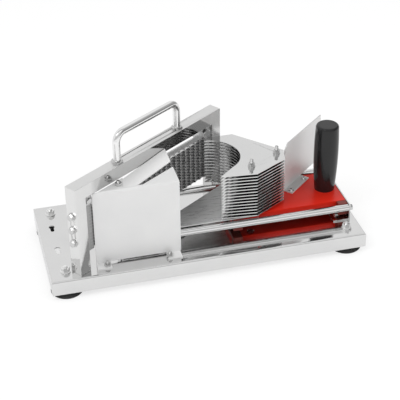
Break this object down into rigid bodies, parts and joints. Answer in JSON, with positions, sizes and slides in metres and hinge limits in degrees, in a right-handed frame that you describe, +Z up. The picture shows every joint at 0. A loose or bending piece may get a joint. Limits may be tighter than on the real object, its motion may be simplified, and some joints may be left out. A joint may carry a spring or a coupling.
{
  "type": "tomato slicer",
  "caption": "Bench slicer with a folded steel base, a slanted blade portal with carry handle, and a pusher carriage on guide rods.",
  "frame": {"origin": "middle of the footprint, on the table under the feet", "axes": "+X along the base to the grip end, +Y to the back, +Z up"},
  "size_m": [0.43, 0.183, 0.205],
  "materials": {
    "stainless": "polished, mirror-like",
    "blade_steel": "ground",
    "bright_rod": "polished",
    "fastener": "bright",
    "rubber": "matt",
    "red_plastic": "semi-gloss",
    "glide_plastic": "satin",
    "grip_plastic": "satin"
  },
  "bodies": {
    "stand": {"base_panel": "stainless", "base_sides": "stainless", "rubber_feet": "rubber", "foot_bolts": "fastener", "foot_washers": "fastener", "blade_frame": "stainless", "frame_plugs": "fastener", "frame_bolts": "fastener", "carry_handle": "bright_rod", "carry_nuts": "fastener", "left_post": "stainless", "right_post": "stainless", "post_bolts": "fastener", "post_washers": "fastener", "blades": "blade_steel", "blade_pins": "fastener", "top_bar": "stainless", "clamp_bolts": "fastener", "clamp_nuts": "fastener", "front_guard": "stainless", "guard_bolts": "fastener", "guard_nuts": "fastener", "blade_cover": "stainless", "cover_bolt": "fastener", "cover_nut": "fastener", "front_rod": "bright_rod", "rear_rod": "bright_rod", "right_bracket": "stainless", "left_bracket": "stainless", "rod_bolts": "fastener", "bracket_bolts": "fastener", "bracket_nuts": "fastener"},
    "carriage": {"slide_board": "red_plastic", "glide_bars": "glide_plastic", "glide_screws": "fastener", "tray_plate": "stainless", "tray_screws": "fastener", "pusher_plates": "stainless", "pusher_spacers": "fastener", "pusher_bolts": "fastener", "pusher_washers": "fastener", "pusher_nuts": "fastener", "hand_guard": "stainless", "hand_guard_screws": "fastener", "handle_grip": "grip_plastic", "grip_cap": "grip_plastic", "handle_bolt": "fastener"}
  },
  "joints": [
    {"name": "carriage_slide", "type": "slide", "parent": "stand", "child": "carriage", "axis": [-1, 0, 0], "range_m": [0, 0.13]}
  ]
}
